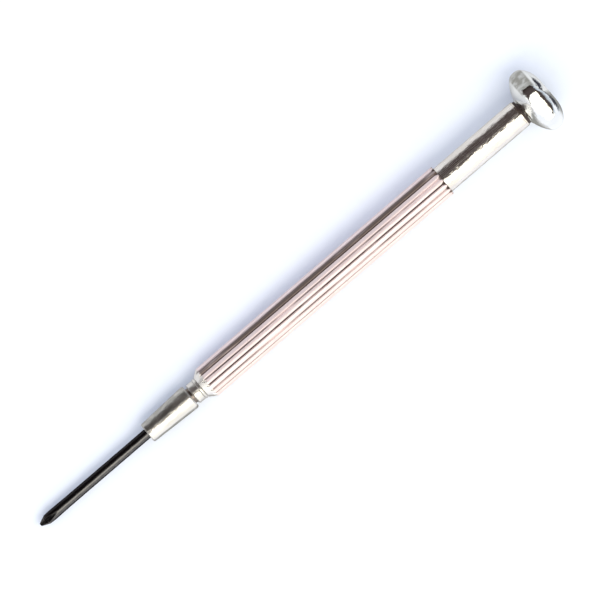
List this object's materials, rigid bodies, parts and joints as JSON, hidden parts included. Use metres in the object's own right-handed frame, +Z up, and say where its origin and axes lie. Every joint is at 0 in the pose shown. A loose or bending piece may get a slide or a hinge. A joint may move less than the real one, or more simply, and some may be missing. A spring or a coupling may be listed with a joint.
{
  "type": "watchmaker screwdriver",
  "caption": "Slim metal watchmaker screwdriver: round cross-point blade in a tapered collet chuck, fluted grip and a swivelling six-sided finger cap.",
  "frame": {"origin": "the driver point, on the tool's axis", "axes": "+X along the tool's axis from the driver point to the finger cap, +Z up out of the bench, with one flat of the cap facing down"},
  "size_m": [0.1002, 0.0108, 0.0098],
  "materials": {
    "black_steel": "black oxide, satin",
    "spring_steel": "fine ground",
    "nickel_plate": "satin nickel over turning marks",
    "bright_plate": "bright nickel",
    "grip_plate": "satin plate with a slightly pink tone",
    "bush_brass": "turned, plated on its flange",
    "washer_plastic": "moulded acetal",
    "hard_steel": "ground and hardened",
    "cap_plate": "bright chrome"
  },
  "bodies": {
    "handle": {"barrel_tube": "bright_plate", "grip_sleeve": "grip_plate", "neck_ring": "nickel_plate", "chuck_spindle": "nickel_plate", "end_bush": "bush_brass", "thrust_washer": "washer_plastic", "ball_seat": "hard_steel", "thrust_ball": "hard_steel"},
    "collet": {"collet": "spring_steel"},
    "chuck_nut": {"chuck_nut": "nickel_plate"},
    "blade": {"blade": "black_steel"},
    "cap": {"swivel_cap": "cap_plate", "swivel_pin": "hard_steel", "retaining_clip": "spring_steel"}
  },
  "joints": [
    {"name": "cap_swivel", "type": "hinge", "parent": "handle", "child": "cap", "pos_m": [0.0952, 0, 0], "axis": [1, 0, 0], "continuous": true},
    {"name": "collet_release", "type": "slide", "parent": "handle", "child": "collet", "axis": [-1, 0, 0], "range_m": [0, 0.0035]},
    {"name": "chuck_nut_turn", "type": "hinge", "parent": "collet", "child": "chuck_nut", "pos_m": [0.0255, 0, 0], "axis": [-1, 0, 0], "range_deg": [0, 3600]},
    {"name": "blade_pull", "type": "slide", "parent": "collet", "child": "blade", "axis": [-1, 0, 0], "range_m": [0, 0.011]}
  ],
  "couplings": [
    {"joint": "chuck_nut_turn", "follows": "collet_release", "rad_per_m": 17952}
  ]
}
